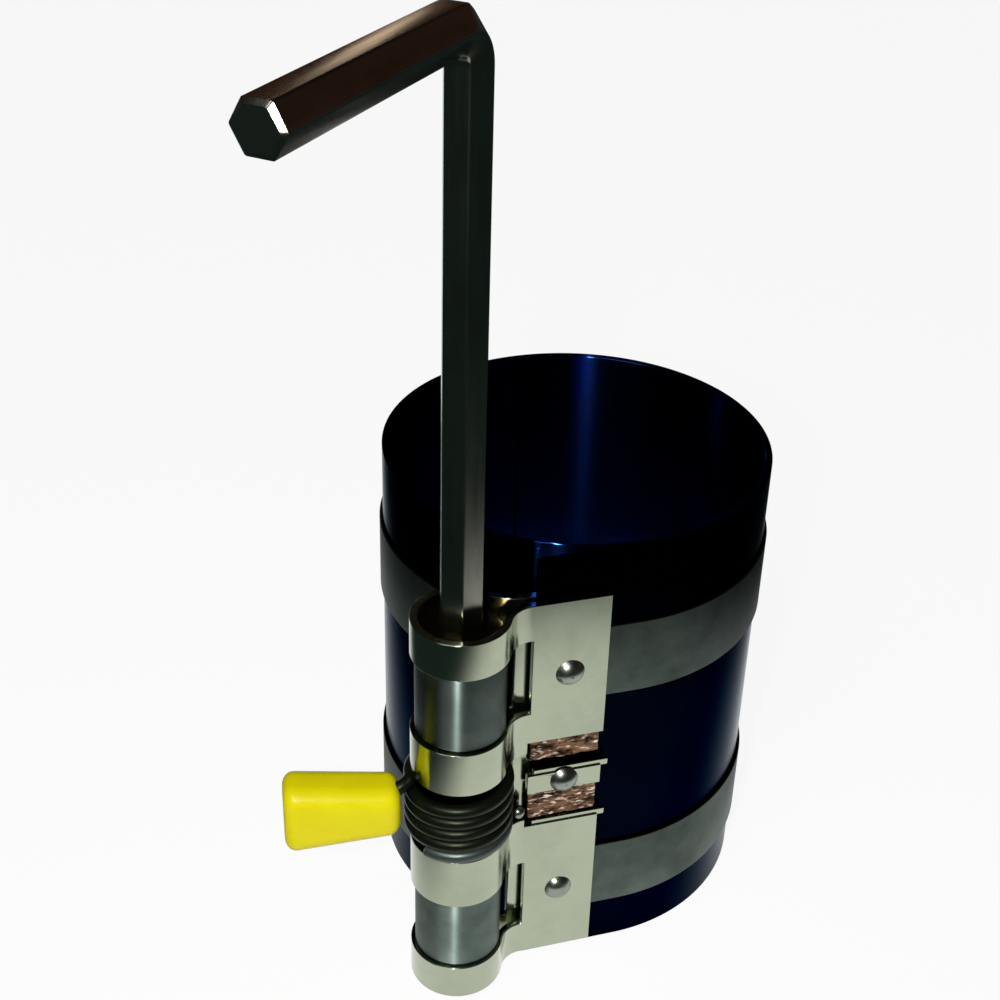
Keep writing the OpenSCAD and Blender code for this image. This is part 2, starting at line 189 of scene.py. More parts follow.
@dataclass(frozen=True)
class RolledStrip(Finish):
    """Cold-rolled steel strip. The rolls leave fine lines along its length."""

    dark: str = "#000000"
    light: str = "#ffffff"
    # Real roll lines are too fine to show, so they are drawn coarser
    line_mm: float = 0.35
    line_length_mm: float = 60.0
    groove_mm: float = 0.0004
    uneven: float = 0.06
    cloud_mm: float = 9.0
    scratch: str = ""
    scratch_mm: float = 75.4
    edge: str = "#ffffff"
    # Brighter blue painted on the inner face and the lapped turn: a lit copy of the colour, so that a
    # lamp's streak shows there
    lit_blue: str = ""
    face_mm: float = 81.0
    lapped_mm: float = 197.0

    def dress(self, tree: Tree, shader: Node) -> None:
        """Draws cloudy colour, roll lines and a streak across the lines.

        Args:
            tree: The material's node tree.
            shader: Its principled shader.
        """
        strip = add(tree, "UVMap", out="UV", uv_map=STRIP_MAP)
        along = add(
            tree, "Mapping", {"Vector": strip, "Scale": (1 / self.line_length_mm, 1 / self.line_mm, 1)}
        )
        lines = add(tree, "TexNoise", {"Vector": along, "Scale": 1.0, "Detail": 3.0})
        place = add(tree, "TexCoord", out="Object")
        cloud = add(
            tree,
            "TexNoise",
            {"Vector": place, "Scale": per_mm(self.cloud_mm), "Detail": 4.0, "Roughness": 0.6},
        )
        amount = add(tree, "MapRange", {"Value": cloud, "From Min": 0.3, "From Max": 0.7})
        colour = add(
            tree, "Mix", {0: amount, 6: linear(self.dark), 7: linear(self.light)}, out=2, data_type="RGBA"
        )
        if self.scratch:
            colour = self.scratched(tree, colour, place)
        if self.lit_blue:
            colour = self.paint_lit_faces(tree, colour, strip)
        rough = add(
            tree,
            "MapRange",
            {
                "Value": lines,
                "From Min": 0.25,
                "From Max": 0.75,
                "To Min": self.roughness * (1 - self.uneven),
                "To Max": self.roughness * (1 + self.uneven),
            },
        )
        bump = add(tree, "Bump", {"Distance": self.groove_mm * MM, "Height": lines})
        shader.inputs["Specular Tint"].default_value = linear(self.edge)
        shader.inputs["Anisotropic"].default_value = 1.0
        shader.inputs["Anisotropic Rotation"].default_value = 0.25
        tangent = add(tree, "Tangent", direction_type="UV_MAP", uv_map=STRIP_MAP)
        self.link(tree, shader, Base_Color=colour, Roughness=rough, Normal=bump, Tangent=tangent)

    def paint_lit_faces(self, tree: Tree, colour: Socket, strip: Socket) -> Socket:
        """Paints a brighter, lit copy of the colour on the inner face and where the strip was lapped, so
        that a lamp's streak shows there.

        Args:
            tree: The material's node tree.
            colour: The colour below.
            strip: The strip's own coordinates in millimetres.

        Returns:
            The colour with its painted lit areas.
        """
        parts = add(tree, "SeparateXYZ", {"Vector": strip}).node.outputs
        # Painted light: the inner face and the lapped turn take the brighter, lit copy of the colour
        inner = add(tree, "Math", {0: parts["Y"], 1: self.face_mm}, operation="GREATER_THAN")
        lapped = add(tree, "Math", {0: parts["X"], 1: self.lapped_mm}, operation="GREATER_THAN")
        lit_share = add(tree, "Math", {0: inner, 1: lapped}, operation="MAXIMUM")
        return add(tree, "Mix", {0: lit_share, 6: colour, 7: linear(self.lit_blue)}, out=2, data_type="RGBA")

    def scratched(self, tree: Tree, colour: Socket, place: Socket) -> Socket:
        """Lays faint slanting rub marks over a colour, a few to each strap.

        Args:
            tree: The material's node tree.
            colour: The colour below.
            place: The object's own coordinates.

        Returns:
            The colour with its marks.
        """
        scale = per_mm(self.scratch_mm) * WAVE_UNIT
        wave = add(
            tree,
            "TexWave",
            {"Vector": place, "Scale": scale, "Distortion": 9.0, "Detail": 3.0, "Detail Scale": scale},
            out="Fac",
            bands_direction="DIAGONAL",
        )
        mark = add(tree, "MapRange", {"Value": wave, "From Min": 0.95, "From Max": 1.0, "To Max": 0.35})
        return add(tree, "Mix", {0: mark, 6: colour, 7: linear(self.scratch)}, out=2, data_type="RGBA")


@dataclass(frozen=True)
class PlatedSheet(Finish):
    """Pressed steel sheet with bright plating. It mirrors softly and keeps faint stains."""

    colour: str = "#ffffff"
    stain: str = "#000000"
    stain_mm: float = 12.0
    stained: float = 0.5
    peel_mm: float = 1.2
    peel: float = 0.03
    peel_h_mm: float = 0.05
    uneven: Point = (0.85, 1.3)

    def dress(self, tree: Tree, shader: Node) -> None:
        """Draws stains in the colour and a faint waviness of the plating.

        Args:
            tree: The material's node tree.
            shader: Its principled shader.
        """
        place = add(tree, "TexCoord", out="Object")
        cloud = add(
            tree,
            "TexNoise",
            {"Vector": place, "Scale": per_mm(self.stain_mm), "Detail": 5.0, "Roughness": 0.65},
        )
        amount = add(
            tree, "MapRange", {"Value": cloud, "From Min": 0.45, "From Max": 0.8, "To Max": self.stained}
        )
        colour = add(
            tree, "Mix", {0: amount, 6: linear(self.colour), 7: linear(self.stain)}, out=2, data_type="RGBA"
        )
        rough = add(
            tree,
            "MapRange",
            {
                "Value": cloud,
                "From Min": 0.3,
                "From Max": 0.75,
                "To Min": self.roughness * self.uneven[0],
                "To Max": self.roughness * self.uneven[1],
            },
        )
        waves = add(tree, "TexNoise", {"Vector": place, "Scale": per_mm(self.peel_mm), "Detail": 2.0})
        bump = add(tree, "Bump", {"Strength": self.peel, "Distance": self.peel_h_mm * MM, "Height": waves})
        self.link(tree, shader, Base_Color=colour, Roughness=rough, Normal=bump)


@dataclass(frozen=True)
class RoughBraze(Finish):
    """Copper braze that ran and froze. Its skin is brown in patches, with pale glints painted into its
    colour.
    """

    colour: str = "#7c5c46"
    shade: str = "#2a1c14"
    painted_glint: str = "#eed8c2"
    patch_mm: float = 2.4
    grain_mm: float = 1.1
    grain_h_mm: float = 0.15
    slant: float = 35.0
    stretch: Place = (0.7, 1.0, 2.2)

    def dress(self, tree: Tree, shader: Node) -> None:
        """Draws brown patches, painted pale glints and a grainy skin.

        Args:
            tree: The material's node tree.
            shader: Its principled shader.
        """
        place = add(tree, "TexCoord", out="Object")
        run = add(
            tree,
            "Mapping",
            {"Vector": place, "Rotation": (0, math.radians(self.slant), 0), "Scale": self.stretch},
        )
        patch = add(
            tree,
            "TexNoise",
            {"Vector": run, "Scale": per_mm(self.patch_mm), "Detail": 4.0, "Roughness": 0.6},
        )
        grain = add(tree, "TexNoise", {"Vector": run, "Scale": per_mm(self.grain_mm), "Detail": 3.0})
        bare = add(tree, "MapRange", {"Value": patch, "From Min": 0.38, "From Max": 0.58})
        base = add(
            tree, "Mix", {0: bare, 6: linear(self.shade), 7: linear(self.colour)}, out=2, data_type="RGBA"
        )
        # Painted highlights: pale glints mixed into the colour where the fine grain runs high
        bright = add(tree, "MapRange", {"Value": grain, "From Min": 0.55, "From Max": 0.68})
        colour = add(tree, "Mix", {0: bright, 6: base, 7: linear(self.painted_glint)}, out=2, data_type="RGBA")
        rough = add(
            tree,
            "MapRange",
            {"Value": patch, "To Min": self.roughness * 1.4, "To Max": self.roughness * 0.6},
        )
        bump = add(tree, "Bump", {"Strength": 0.5, "Distance": self.grain_h_mm * MM, "Height": grain})
        self.link(tree, shader, Base_Color=colour, Roughness=rough, Normal=bump)


@dataclass(frozen=True)
class TurnedBar(Finish):
    """Turned steel bar, zinc-plated and yellow-passivated. Tool rings run round it."""

    colour: str = "#544418"
    tint: str = "#3a331c"
    tint_mm: float = 4.0
    # Real tool rings are too fine to show, so they are drawn coarser
    ring_mm: float = 1.571
    ring_h_mm: float = 0.02

    def dress(self, tree: Tree, shader: Node) -> None:
        """Draws tool rings along the axis and an uneven yellow tint.

        Args:
            tree: The material's node tree.
            shader: Its principled shader.
        """
        place = add(tree, "TexCoord", out="Object")
        rings = add(
            tree,
            "TexWave",
            {"Vector": place, "Scale": per_mm(self.ring_mm) * WAVE_UNIT, "Distortion": 0.4},
            out="Fac",
            bands_direction="Z",
        )
        cloud = add(tree, "TexNoise", {"Vector": place, "Scale": per_mm(self.tint_mm), "Detail": 4.0})
        colour = add(
            tree, "Mix", {0: cloud, 6: linear(self.colour), 7: linear(self.tint)}, out=2, data_type="RGBA"
        )
        bump = add(tree, "Bump", {"Strength": 0.15, "Distance": self.ring_h_mm * MM, "Height": rings})
        self.link(tree, shader, Base_Color=colour, Normal=bump)


@dataclass(frozen=True)
class DrawnBar(Finish):
    """Drawn hexagon bar, plated bright. Die lines run along it and worn patches are browner."""

    colour: str = "#8e8f84"
    wear: str = "#7a7060"
    wear_mm: Point = (12.0, 3.0)
    # Real die lines are too fine to show, so they are drawn coarser
    line_mm: float = 0.3
    line_length_mm: float = 25.0
    line_h_mm: float = 0.03

    def dress(self, tree: Tree, shader: Node) -> None:
        """Draws die lines along the bar and patches of thinner plating.

        Args:
            tree: The material's node tree.
            shader: Its principled shader.
        """
        strip = add(tree, "UVMap", out="UV", uv_map=STRIP_MAP)
        along = add(
            tree, "Mapping", {"Vector": strip, "Scale": (1 / self.line_length_mm, 1 / self.line_mm, 1)}
        )
        lines = add(tree, "TexNoise", {"Vector": along, "Scale": 1.0, "Detail": 2.0})
        long, wide = self.wear_mm
        patch = add(tree, "Mapping", {"Vector": strip, "Scale": (1 / long, 1 / wide, 1)})
        cloud = add(tree, "TexNoise", {"Vector": patch, "Scale": 1.0, "Detail": 5.0})
        amount = add(tree, "MapRange", {"Value": cloud, "From Min": 0.45, "From Max": 0.8})
        colour = add(
            tree, "Mix", {0: amount, 6: linear(self.colour), 7: linear(self.wear)}, out=2, data_type="RGBA"
        )
        rough = add(
            tree,
            "MapRange",
            {"Value": lines, "To Min": self.roughness * 0.7, "To Max": self.roughness * 1.3},
        )
        bump = add(tree, "Bump", {"Strength": 0.05, "Distance": self.line_h_mm * MM, "Height": lines})
        self.link(tree, shader, Base_Color=colour, Roughness=rough, Normal=bump)


@dataclass(frozen=True)
class LacqueredWire(Finish):
    """Oil-hardened spring wire under dark olive lacquer, rubbed bare on the first coil."""

    colour: str = "#1a1f14"
    bare: str = "#4c5652"
    bare_mm: float = 30.0
    fade_mm: float = 14.0
    cloud_mm: float = 1.5

    def dress(self, tree: Tree, shader: Node) -> None:
        """Fades the lacquer out towards the coil's foot.

        Args:
            tree: The material's node tree.
            shader: Its principled shader.
        """
        strip = add(tree, "UVMap", out="UV", uv_map=STRIP_MAP)
        parts = add(tree, "SeparateXYZ", {"Vector": strip}).node.outputs
        place = add(tree, "TexCoord", out="Object")
        cloud = add(tree, "TexNoise", {"Vector": place, "Scale": per_mm(self.cloud_mm), "Detail": 4.0})
        wander = add(tree, "Math", {0: cloud, 1: self.fade_mm, 2: parts["X"]}, operation="MULTIPLY_ADD")
        worn = add(
            tree,
            "MapRange",
            {
                "Value": wander,
                "From Min": self.bare_mm,
                "From Max": self.bare_mm + self.fade_mm,
                "To Min": 1.0,
                "To Max": 0.0,
            },
        )
        colour = add(
            tree, "Mix", {0: worn, 6: linear(self.colour), 7: linear(self.bare)}, out=2, data_type="RGBA"
        )
        rough = add(
            tree,
            "MapRange",
            {"Value": cloud, "To Min": self.roughness * 0.8, "To Max": self.roughness * 1.2},
        )
        shader.inputs["Specular IOR Level"].default_value = 0.25
        self.link(tree, shader, Base_Color=colour, Roughness=rough)


@dataclass(frozen=True)
class DippedVinyl(Finish):
    """Soft PVC, dip-moulded over the wire. It is glossy, dense in colour and slightly wavy."""

    colour: str = "#dad008"
    deep: str = "#ccbe04"
    cloud_mm: float = 6.0
    skin_mm: float = 1.2
    skin_h_mm: float = 0.1

    def dress(self, tree: Tree, shader: Node) -> None:
        """Adds uneven colour and the waviness of a dipped skin.

        Args:
            tree: The material's node tree.
            shader: Its principled shader.
        """
        place = add(tree, "TexCoord", out="Object")
        cloud = add(tree, "TexNoise", {"Vector": place, "Scale": per_mm(self.cloud_mm), "Detail": 3.0})
        colour = add(
            tree, "Mix", {0: cloud, 6: linear(self.colour), 7: linear(self.deep)}, out=2, data_type="RGBA"
        )
        skin = add(tree, "TexNoise", {"Vector": place, "Scale": per_mm(self.skin_mm), "Detail": 2.0})
        bump = add(tree, "Bump", {"Strength": 0.06, "Distance": self.skin_h_mm * MM, "Height": skin})
        shader.inputs["Specular IOR Level"].default_value = 0.2
        self.link(tree, shader, Base_Color=colour, Normal=bump)


# Heat-blued spring steel: nearly black, with a narrow blue streak where a lamp catches it.
# Its roll lines are drawn deeper than real ones, which keeps that streak narrow
BLUED_STEEL = RolledStrip(
    "blued_spring_steel_rolled",
    0.12,
    dark="#02040d",
    light="#030615",
    cloud_mm=18.0,
    edge="#b4b9c0",
    groove_mm=0.035,
    # Lit copy of the blue, painted on the inner face and the lapped turn so that the lamp's streak shows
    # there
    lit_blue="#183a88",
)
# Bare strap steel: satin grey that draws each lamp out into a streak across its length
STRAP_STEEL = RolledStrip(
    "strap_steel_cold_rolled", 0.37, dark="#4e5b54", light="#6f7d76", scratch="#343c39"
)
# Strap ends wound on the drums: the same strip in brighter colours
WOUND_STEEL = replace(
    STRAP_STEEL, name="strap_steel_brighter_on_drums", dark="#62716a", light="#8a9992", scratch="#3a423f"
)
# Nickel on pressed steel: a soft, slightly green mirror
NICKEL_SHEET = PlatedSheet("nickel_plated_pressed_steel", 0.15, colour="#acb49e", stain="#8f9783")
# Upset steel heads: a soft shine, greyer than the sheet
RIVET_STEEL = PlatedSheet(
    "bright_steel_upset_rivet", 0.27, colour="#929990", stain="#747b73", stain_mm=2.0, peel_mm=0.5
)
# Copper run into the slots: brown patches, with pale glints painted in as highlights
COPPER_BRAZE = RoughBraze("copper_braze_as_run", 0.3)
# Turned and yellow-passivated bar: dull gold, dark down in the knuckle
PASSIVATED_BAR = TurnedBar("zinc_plated_turned_steel", 0.22)
# Bright plating on drawn bar: it mirrors the dark room above and the pale floor near its foot
KEY_BAR = DrawnBar("nickel_plated_drawn_hexagon_steel", 0.2)
# Lacquered wire: dark olive, with a soft line of light along every coil
SPRING_WIRE = LacqueredWire("lacquered_spring_wire", 0.36, metallic=0.7)
# Dipped vinyl: dense yellow with a soft shine
GRIP_VINYL = DippedVinyl("dip_moulded_pvc", 0.34, metallic=0.0)


# Mesh making


def polar(angle: float, radius: float = 1.0) -> Vector:
    """Gives the point at an angle in degrees and a radius, at Z = 0."""
    turn = math.radians(angle)
    return Vector((radius * math.cos(turn), radius * math.sin(turn), 0.0))


def spaced(start: float, end: float, step: float) -> list[float]:
    """Lists values from start to end, no further apart than a step.

    Args:
        start: First value.
        end: Last value.
        step: Largest distance between neighbours.

    Returns:
        The values, with both ends.
    """
    count = max(1, math.ceil(abs(end - start) / step))
    return [start + (end - start) * i / count for i in range(count + 1)]


def rounded_polygon(corners: Sequence[Point], radius: float, steps: int = 4) -> list[Point]:
    """Rounds the corners of a convex polygon given counter-clockwise.

    Args:
        corners: The sharp corners.
        radius: Radius of every corner.
        steps: Segments in each rounded corner.

    Returns:
        The outline's points.
    """
    outline: list[Point] = []
    count = len(corners)
    for i, corner in enumerate(corners):
        here = Vector(corner)
        before = (Vector(corners[i - 1]) - here).normalized()
        after = (Vector(corners[(i + 1) % count]) - here).normalized()
        half = before.angle(after) / 2
        centre = here + (before + after).normalized() * (radius / math.sin(half))
        first = here + before * (radius / math.tan(half)) - centre
        last = here + after * (radius / math.tan(half)) - centre
        swing = math.atan2(first.x * last.y - first.y * last.x, first.dot(last))
        for k in range(steps + 1):
            turned = Matrix.Rotation(swing * k / steps, 2) @ first
            outline.append((centre.x + turned.x, centre.y + turned.y))
    return outline


def slab(width: float, height: float, radius: float) -> list[Point]:
    """Gives the rounded outline of a strip's section, centred on its path."""
    x, y = width / 2, height / 2
    return rounded_polygon([(-x, -y), (x, -y), (x, y), (-x, y)], radius, 3)


@dataclass
class Loft:
    """Rings of points joined into one closed skin, with coordinates along it in millimetres."""

    name: str
    rings: list[list[Vector]] = field(default_factory=list)
    lengths: list[float] = field(default_factory=list)

    def ring(self, place: Frame3, section: Iterable[Point], length: float) -> None:
        """Adds one ring.

        Args:
            place: Origin and the two axes of the section.
            section: Points in those axes.
            length: Distance along the path.
        """
        origin, a, b = place
        self.rings.append([origin + a * x + b * y for x, y in section])
        self.lengths.append(length)

    def build(self, body: Body, nodes: Sequence[str], slot: str, finish: Finish, sharp: float = 40) -> None:
        """Makes the object, dresses it and hides the solids that it replaces.

        Args:
            body: The body that it rides on.
            nodes: The solids that it replaces.
            slot: Not used.
            finish: Its finish.
            sharp: Angle in degrees above which an edge stays sharp.
        """
        count = len(self.rings[0])
        points = [p * MM for ring in self.rings for p in ring]
        faces: list[list[int]] = []
        for i in range(len(self.rings) - 1):
            for k in range(count):
                a, b = i * count + k, i * count + (k + 1) % count
                faces.append([a, b, b + count, a + count])
        faces.append(list(range(count))[::-1])
        faces.append([(len(self.rings) - 1) * count + k for k in range(count)])
        mesh = bpy.data.meshes.new(self.name)
        mesh.from_pydata(points, [], faces)
        self.map_strip(mesh, count)
        mesh.polygons.foreach_set("use_smooth", [True] * len(mesh.polygons))
        mesh.set_sharp_from_angle(angle=math.radians(sharp))
        mesh.validate()
        mesh.materials.append(finish.material())
        piece = bpy.data.objects.new(mesh.name, mesh)
        bpy.context.scene.collection.objects.link(piece)
        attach(piece, body.value)
        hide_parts(*nodes)
        LOG.info("%s on %s: %d faces", piece.name, body.value, len(mesh.polygons))

    def map_strip(self, mesh: bpy.types.Mesh, count: int) -> None:
        """Writes coordinates along and across the skin, in millimetres.

        Args:
            mesh: The new mesh.
            count: Points in each ring.
        """
        widest = max(self.rings, key=lambda ring: (ring[0] - ring[count // 2]).length)
        around = [0.0]
        for k in range(count):
            around.append(around[-1] + (widest[(k + 1) % count] - widest[k]).length)
        layer = mesh.uv_layers.new(name=STRIP_MAP)
        for face in mesh.polygons:
            wraps = len(face.vertices) == 4
            for loop in face.loop_indices:
                vertex = mesh.loops[loop].vertex_index
                ring, k = divmod(vertex, count)
                late = k == 0 and any(v % count == count - 1 for v in face.vertices)
                across = around[count if late else k] if wraps else 0.0
                layer.data[loop].uv = (self.lengths[ring], across)


def dress_node(
    node: str, finish: Finish, bevel_mm: float = 0.0, weld_mm: float = 0.04, sharp: float = 40
) -> None:
    """Gives a solid its finish, and breaks its edges where that shows.

    Args:
        node: The solid's name.
        finish: Its finish.
        bevel_mm: Width of the broken edges.
        weld_mm: Distance within which the corners of neighbouring faces are joined first.
        sharp: Angle in degrees above which an edge is broken.
    """
    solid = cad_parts[node]
    solid.data.materials.clear()
    solid.data.materials.append(finish.material())
    if bevel_mm:
        weld = solid.modifiers.new("welded_faces", "WELD")
        weld.merge_threshold = weld_mm * MM
        edge = solid.modifiers.new("broken_edges", "BEVEL")
        edge.width = bevel_mm * MM
        edge.segments = 2
        edge.limit_method = "ANGLE"
        edge.angle_limit = math.radians(sharp)
        edge.use_clamp_overlap = False
        shade = solid.modifiers.new("even_shading", "WEIGHTED_NORMAL")
        shade.weight = 100
    LOG.info("%s dressed as %s", node, finish.name)


# Sub-assemblies


@dataclass
class Band:
    """The coiled band and the two straps that lie on it."""

    outer_r: float = 31.75
    band_t: float = 0.5
    band_h: float = 80.0
    spiral_shift: float = 0.375
    tail_x: float = -16.18
    tail_end_x: float = -0.4
    strap_gap: float = 0.15
    strap_t: float = 0.4
    strap_w: float = STRAP_WIDTH
    strap_z: dict[Level, float] = field(default_factory=lambda: {Level.LOWER: 8.9, Level.UPPER: 53.38})
    lead_angle: float = 204.49
    lead_len: float = 18.73
    edge_r: float = 0.12
    step: float = 1.5
    flat_step: float = 2.0

    def arc(self, centre_y: float, radius: float, start: float, end: float) -> Path:
        """Lists points and outward normals along an arc.

        Args:
            centre_y: The arc's centre on Y.
            radius: Its radius.
            start: First angle in degrees.
            end: Last angle in degrees.

        Returns:
            Pairs of point and normal.
        """
        centre = Vector((0.0, centre_y, 0.0))
        return [(centre + polar(a, radius), polar(a)) for a in spaced(start, end, self.step)]

    def tail(self, radius: float) -> Path:
        """Lists points and normals along the flat that lies under the flange."""
        xs = spaced(self.tail_x, self.tail_end_x, self.flat_step)
        return [(Vector((x, -radius, 0.0)), Vector((0, -1, 0))) for x in xs]

    def sweep(self, name: str, path: Path, middle: float, section: list[Point]) -> Loft:
        """Sweeps a section along a path of points and normals.

        Args:
            name: The piece's name.
            path: Points and outward normals.
            middle: Height of the strip's middle.
            section: The strip's section, outwards and upwards.

        Returns:
            The loft.
        """
        loft = Loft(name)
        length = 0.0
        last = path[0][0]
        for point, normal in path:
            length += (point - last).length
            last = point
            loft.ring((point + UP * middle, normal, UP), section, length)
        return loft

    def build_band(self) -> None:
        """Builds the spiral band."""
        middle_r = self.outer_r - self.band_t / 2
        turn = self.spiral_shift
        path = self.tail(middle_r)
        path += self.arc(0.0, middle_r, FRONT, FRONT + HALF_TURN)
        path += self.arc(turn, middle_r - turn, BACK, FRONT)[1:]
        path += self.arc(0.0, middle_r - 2 * turn, FRONT, FRONT + HALF_TURN)[1:]
        section = slab(self.band_t, self.band_h, self.edge_r)
        loft = self.sweep("coiled_band", path, self.band_h / 2, section)
        loft.build(Body.CLASP, ["clamp_band"], "blued_steel", BLUED_STEEL)

    def build_strap(self, level: Level) -> None:
        """Builds one strap, from the flange round the band to the drum.

        Args:
            level: Which strap.
        """
        middle_r = self.outer_r + self.strap_gap + self.strap_t / 2
        turn = self.spiral_shift
        path = self.tail(middle_r)
        path += self.arc(0.0, middle_r, FRONT, FRONT + HALF_TURN)
        path += self.arc(turn, middle_r - turn, BACK, self.lead_angle)[1:]
        start, normal = path[-1]
        ahead = polar(self.lead_angle + 90)
        path += [(start + ahead * d, normal) for d in spaced(0, self.lead_len, self.flat_step)[1:]]
        section = slab(self.strap_t, self.strap_w, self.edge_r)
        middle = self.strap_z[level] + self.strap_w / 2
        loft = self.sweep(f"{level.value}_band_strap", path, middle, section)
        loft.build(Body.CLASP, [f"{level.value}_strap"], "strap_steel", STRAP_STEEL)

    def build(self) -> None:
        """Builds the band and both straps."""
        self.build_band()
        for level in Level:
            self.build_strap(level)


@dataclass
class Clasp:
    """The folded housing, its plate and rivets, its brazed joints and the anchor pin."""

    flange_x1: float = -4.98
    window_x: float = -16.98
    braze_gap: float = 0.1
    braze_face: float = 32.85
    braze_foot: float = 31.8
    braze_z: dict[Level, tuple[float, float]] = field(
        default_factory=lambda: {Level.UPPER: (42.79, 47.19), Level.LOWER: (30.99, 36.79)}
    )
    lump_mm: float = 1.5
    lump_h: float = 0.3
    lump_share: Point = (0.7, 0.35)
    noise_slice: Point = (7.0, 3.0)
    end_run: float = 0.7
    end_share: float = 0.25
    grid_mm: float = 0.22
    edge_mm: float = 0.09

    def build_braze(self, level: Level) -> None:
        """Builds one brazed joint with the lumps that it froze in.

        Args:
            level: Which slot it fills.
        """
        low, high = self.braze_z[level]
        rise = self.braze_face - self.braze_foot
        loft = Loft(f"{level.value}_braze_run")
        xs = spaced(self.window_x + self.braze_gap, self.flange_x1 - self.braze_gap, self.grid_mm)
        slope = rise / 3
        face = spaced(low + slope, high - slope, self.grid_mm)
        deep, shallow = self.noise_slice
        coarse_share, fine_share = self.lump_share
        for x in xs:
            ring: list[Vector] = [Vector((x, -self.braze_foot, low))]
            from_end = min(x - xs[0], xs[-1] - x, self.end_run) / self.end_run
            full = math.sqrt(1 - (1 - from_end) ** 2)
            for z in face:
                lump = noise.noise(Vector((x, deep, z)) / self.lump_mm)
                fine = noise.noise(Vector((x, shallow, z)) / (self.lump_mm / 3))
                height = rise + self.lump_h * (coarse_share * lump + fine_share * fine)
                height *= self.end_share + (1 - self.end_share) * full
                ring.append(Vector((x, -self.braze_foot - height, z)))
            ring.append(Vector((x, -self.braze_foot, high)))
            loft.rings.append(ring)
            loft.lengths.append(x)
        loft.build(Body.CLASP, [f"{level.value}_braze"], "copper_braze", COPPER_BRAZE, sharp=60)

    def build(self) -> None:
        """Dresses the housing, plate, rivets and pin, and builds the brazed joints."""
        for sheet in ("clasp_housing", "middle_plate"):
            dress_node(sheet, NICKEL_SHEET, self.edge_mm)
        for rivet in ("upper_rivet", "middle_rivet", "lower_rivet", "anchor_pin"):
            dress_node(rivet, RIVET_STEEL)
        for level in Level:
            self.build_braze(level)


@dataclass
class Spindle:
    """The turned spindle and the strap ends wound on its drums."""

    axis: Point = SPINDLE_AXIS
    drum_r: float = 5.05
    pack_r: float = 7.05
    layer_t: float = 0.37
    strap_w: float = STRAP_WIDTH
    tongue: float = 0.8
    tongue_root: float = 0.4
    slit_angle: float = 348.0
    wind: float = 1476.5
    edge_r: float = 0.1
    step: float = 3.0

    def build_coil(self, level: Level, low: float) -> None:
        """Builds one wound strap as a spiral, with its tongue in the slot.

        Args:
            level: Which strap.
            low: Height of its lower edge.
        """
        centre = Vector((*self.axis, low + self.strap_w / 2))
        section = slab(self.layer_t, self.strap_w, self.edge_r)
        loft = Loft(f"{level.value}_wound_strap")
        start_r = self.drum_r + self.layer_t / 2
        growth = (self.pack_r - self.drum_r - self.layer_t) / self.wind
        radial = polar(self.slit_angle)
        across = polar(self.slit_angle - 90)
        length = 0.0
        for reach in (self.tongue, self.tongue * self.tongue_root):
            loft.ring((centre + radial * (start_r - reach), across, UP), section, length)
            length += self.tongue * (1 - self.tongue_root)
        for turn in spaced(0.0, self.wind, self.step):
            radius = start_r + growth * turn
            out = polar(self.slit_angle + turn)
            loft.ring((centre + out * radius, out, UP), section, length)
            length += math.radians(self.step) * radius
        loft.build(Body.SPINDLE, [f"{level.value}_strap_coil"], "strap_steel", WOUND_STEEL)

    def build(self, strap_z: dict[Level, float]) -> None:
        """Dresses the spindle and builds both coils.

        Args:
            strap_z: Height of each strap's lower edge.
        """
        dress_node("spindle", PASSIVATED_BAR)
        for level in Level:
            self.build_coil(level, strap_z[level])


